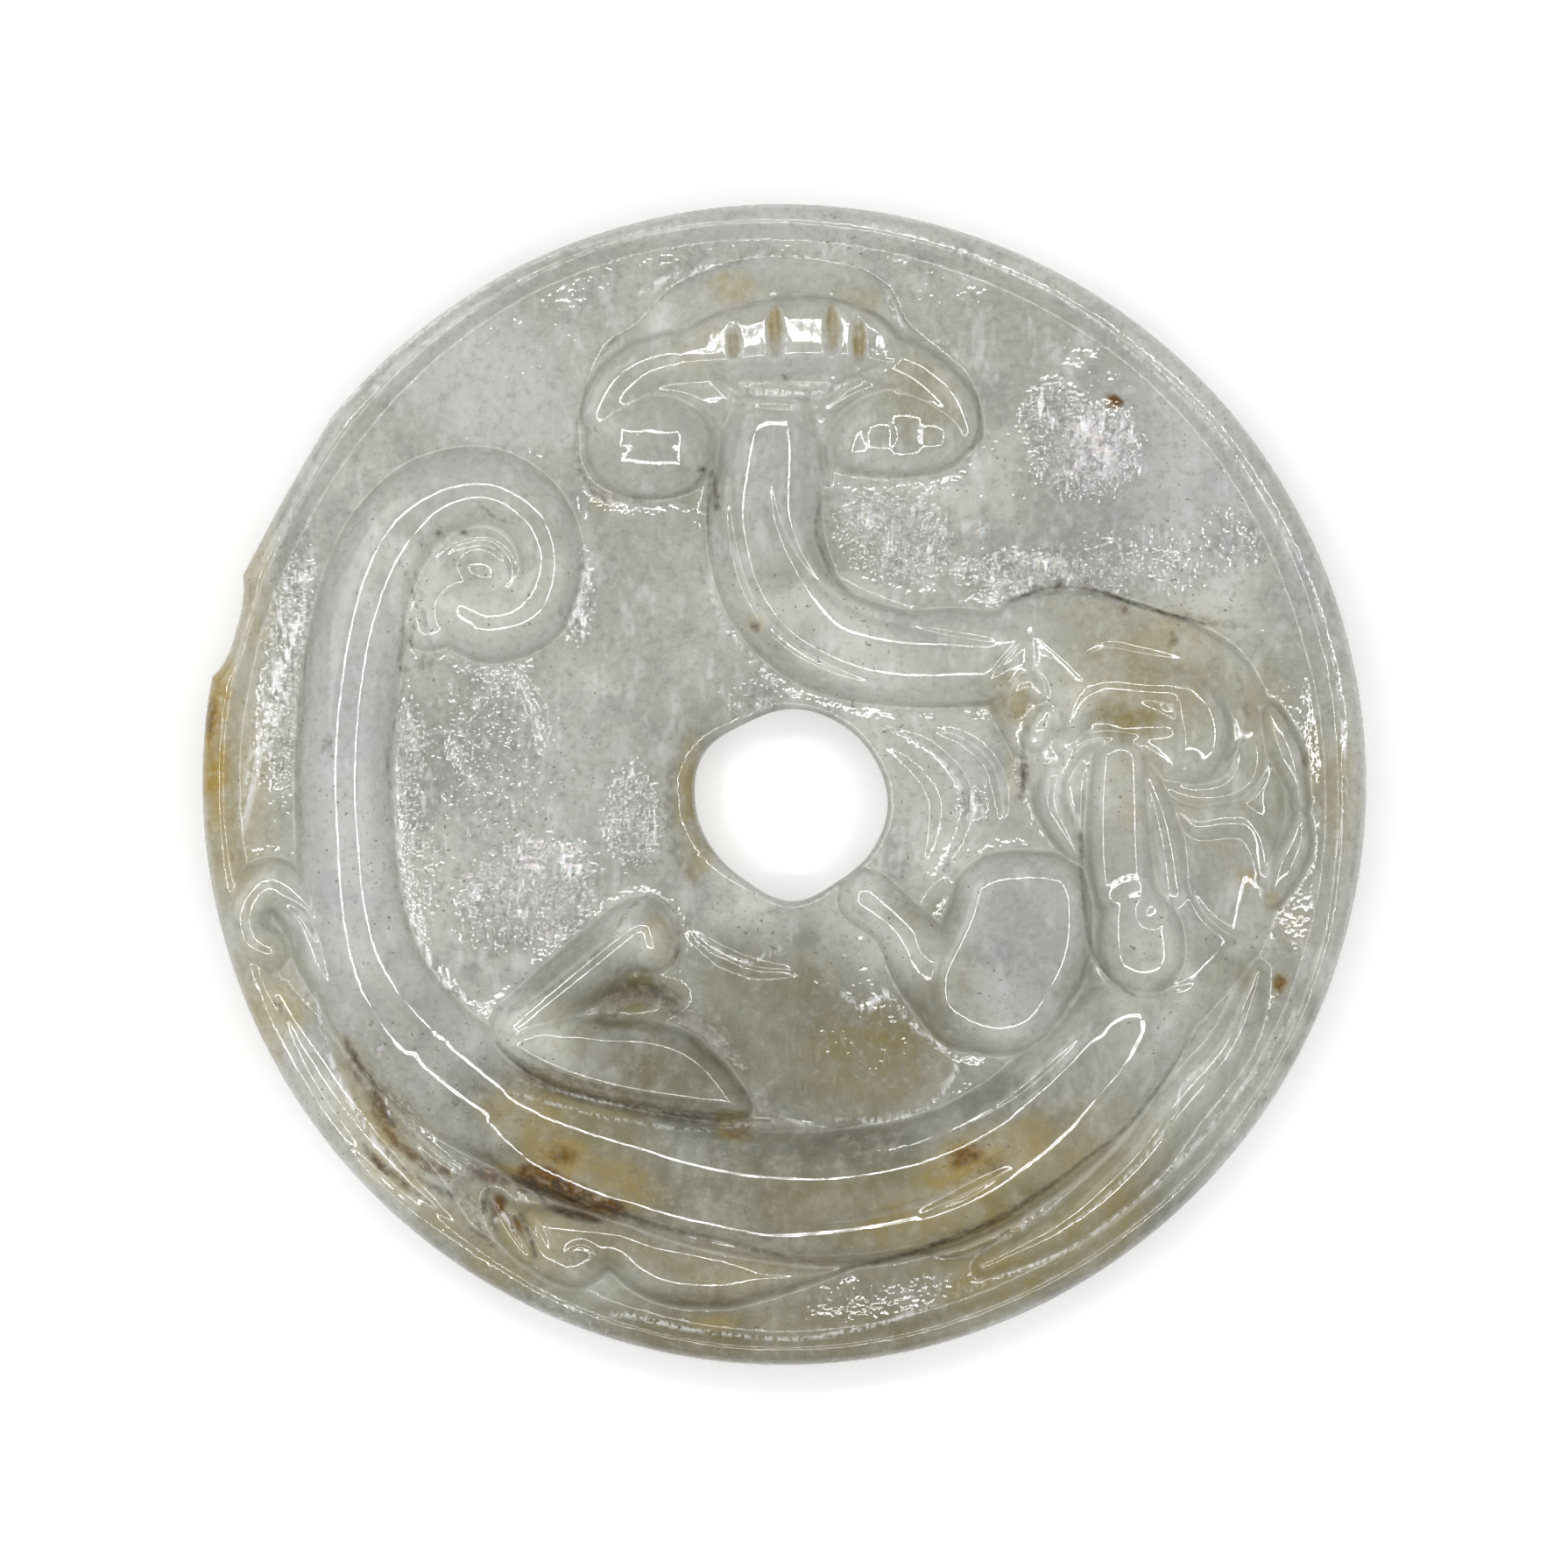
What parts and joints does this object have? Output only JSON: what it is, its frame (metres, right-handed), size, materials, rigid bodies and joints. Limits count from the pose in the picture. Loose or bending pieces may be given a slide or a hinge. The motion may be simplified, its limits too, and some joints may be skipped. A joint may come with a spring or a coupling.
{
  "type": "jade bi disc",
  "caption": "Flat round disc of pale jade with an off-centre opening, carved in low relief on one face with a coiled hornless dragon holding a fungus sceptre in its mouth.",
  "frame": {"origin": "on the flat back, under the middle of the disc's outline", "axes": "+Z out of the carved face, +Y towards the fungus head at the top of the carving, +X towards the dragon's head"},
  "size_m": [0.055, 0.0549, 0.006],
  "materials": {
    "jade": "polished, slightly translucent, glassy on the raised carving and duller in the cut ground"
  },
  "bodies": {
    "root": {"disc": "jade"}
  },
  "joints": []
}
